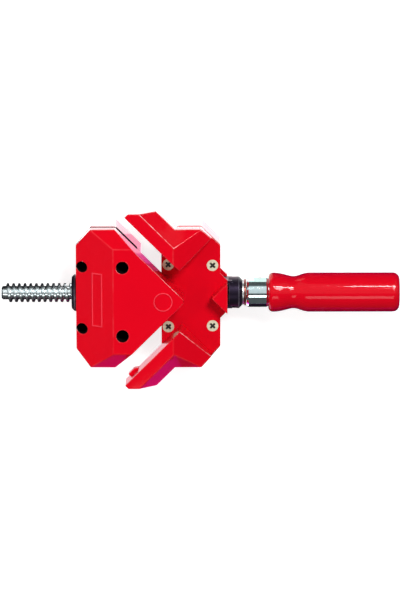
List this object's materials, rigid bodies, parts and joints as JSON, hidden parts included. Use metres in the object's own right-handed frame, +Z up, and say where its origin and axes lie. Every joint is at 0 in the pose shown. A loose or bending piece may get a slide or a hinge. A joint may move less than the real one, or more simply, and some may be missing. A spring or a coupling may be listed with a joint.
{
  "type": "corner clamp",
  "caption": "Die-cast right-angle corner clamp: a screw spindle with a turned handle draws a V-shaped jaw onto a square nose to hold mitred boards.",
  "frame": {"origin": "on the underside of the fixed base, midway between its front and rear bench holes, in the vertical plane of the spindle", "axes": "+X along the spindle towards the handle, +Y across the clamp, +Z up from the bench"},
  "size_m": [0.2786, 0.1242, 0.0505],
  "materials": {
    "red_casting": "gloss red enamel on a die casting",
    "black_casting": "satin black enamel",
    "zinc_spindle": "bright zinc plate on a rolled thread",
    "chrome": "polished chrome plate",
    "zinc_screws": "pale yellow zinc plate",
    "steel": "plain steel",
    "bronze": "sintered bronze",
    "red_handle": "gloss red"
  },
  "bodies": {
    "base": {"fixed_jaw": "red_casting", "fixed_base": "red_casting", "fixed_jaw_screws": "steel"},
    "nut": {"nut_block": "black_casting", "threaded_insert": "steel", "nut_pivot_pins": "steel"},
    "bearing": {"bearing_block": "black_casting", "bearing_bush": "bronze", "bearing_pivot_pins": "steel"},
    "spindle": {"spindle": "zinc_spindle", "inner_thrust_washer": "steel", "outer_thrust_washer": "steel", "thrust_collar": "steel", "ferrule": "chrome", "handle": "red_handle", "handle_pin": "steel"},
    "jaw": {"moving_jaw": "red_casting", "arm_lugs": "red_casting", "jaw_housing": "red_casting", "housing_screws": "zinc_screws"}
  },
  "joints": [
    {"name": "nut_swivel", "type": "hinge", "parent": "base", "child": "nut", "pos_m": [-0.0124, 0, 0.018], "axis": [0, 0, 1], "range_deg": [-3, 3]},
    {"name": "jaw_travel", "type": "slide", "parent": "nut", "child": "bearing", "axis": [1, 0, 0], "range_m": [-0.0092, 0.057]},
    {"name": "spindle_turn", "type": "hinge", "parent": "bearing", "child": "spindle", "pos_m": [0.09, 0, 0.018], "axis": [1, 0, 0], "range_deg": [-828.01, 5130.01]},
    {"name": "jaw_swivel", "type": "hinge", "parent": "bearing", "child": "jaw", "pos_m": [0.0815, 0, 0.018], "axis": [0, 0, 1], "range_deg": [-3, 3]}
  ],
  "couplings": [
    {"joint": "spindle_turn", "follows": "jaw_travel", "rad_per_m": 1570.8},
    {"joint": "jaw_swivel", "follows": "nut_swivel", "ratio": -1}
  ]
}
